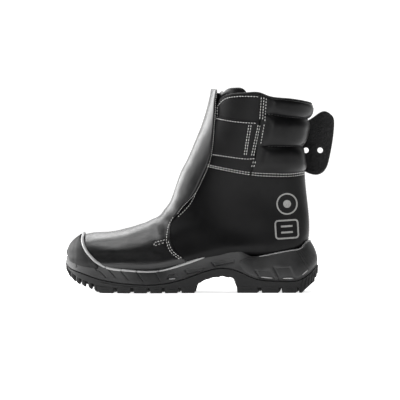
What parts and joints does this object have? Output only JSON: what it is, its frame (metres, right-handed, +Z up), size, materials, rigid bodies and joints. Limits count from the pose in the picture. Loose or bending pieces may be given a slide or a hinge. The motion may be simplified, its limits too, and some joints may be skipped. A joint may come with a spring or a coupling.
{
  "type": "fire boot",
  "caption": "Calf-height leather fire boot with a fold-down front shield, a quick-release strap with a pull ear, a padded collar and a cleated sole.",
  "frame": {"origin": "centre of the footprint's bounding box, on the ground", "axes": "-X towards the toe, -Y towards the outer side of this left boot, +Z up"},
  "size_m": [0.3241, 0.1122, 0.2442],
  "materials": {
    "upper_leather": "smooth, semi-gloss",
    "shield_leather": "smooth, glossy",
    "collar_leather": "fine grain, satin",
    "strap_leather": "smooth, satin",
    "ear_leather": "pebble grain, satin",
    "outsole_rubber": "matte",
    "midsole_foam": "moulded polyurethane, matte",
    "bumper_rubber": "moulded, satin",
    "shank_steel": "rolled",
    "cap_steel": "powder coated",
    "insert_textile": "dense weave",
    "board_fibre": "pressed fibre",
    "counter_board": "thermoplastic sheet",
    "footbed_foam": "textile over foam",
    "lining_textile": "knitted",
    "padding_foam": "open foam",
    "hook_tape": "hooks",
    "loop_tape": "loops"
  },
  "bodies": {
    "boot": {"outsole": "outsole_rubber", "midsole": "midsole_foam", "heel_bumper": "bumper_rubber", "toe_bumper": "bumper_rubber", "shank": "shank_steel", "penetration_insert": "insert_textile", "insole_board": "board_fibre", "footbed": "footbed_foam", "vamp": "upper_leather", "quarter_lateral": "upper_leather", "quarter_medial": "upper_leather", "upper_panel_lateral": "upper_leather", "upper_panel_medial": "upper_leather", "tongue": "upper_leather", "tongue_pad": "collar_leather", "toe_cap": "cap_steel", "heel_counter": "counter_board", "interlining": "lining_textile", "vamp_lining": "lining_textile", "shaft_lining": "lining_textile", "collar_cover": "collar_leather", "collar_foam_top": "padding_foam", "collar_foam_middle": "padding_foam", "collar_foam_lower": "padding_foam", "top_binding": "collar_leather", "shield_crease": "shield_leather", "shield_loop_tape_lateral": "loop_tape", "shield_loop_tape_medial": "loop_tape", "strap_band": "strap_leather", "strap_loop_tape": "loop_tape"},
    "shield": {"front_shield": "shield_leather", "shield_hook_tape_lateral": "hook_tape", "shield_hook_tape_medial": "hook_tape"},
    "strap": {"strap_arm": "strap_leather", "strap_ear": "ear_leather", "strap_hook_tape": "hook_tape"}
  },
  "joints": [
    {"name": "shield_fold", "type": "hinge", "parent": "boot", "child": "shield", "pos_m": [-0.034, 0, 0.096], "axis": [0, -1, 0], "range_deg": [0, 70], "deforming": ["shield_crease"]},
    {"name": "strap_peel", "type": "hinge", "parent": "boot", "child": "strap", "pos_m": [0.024, 0.0363, 0.158], "axis": [0, 0.0847, 0.9964], "range_deg": [0, 95]}
  ]
}
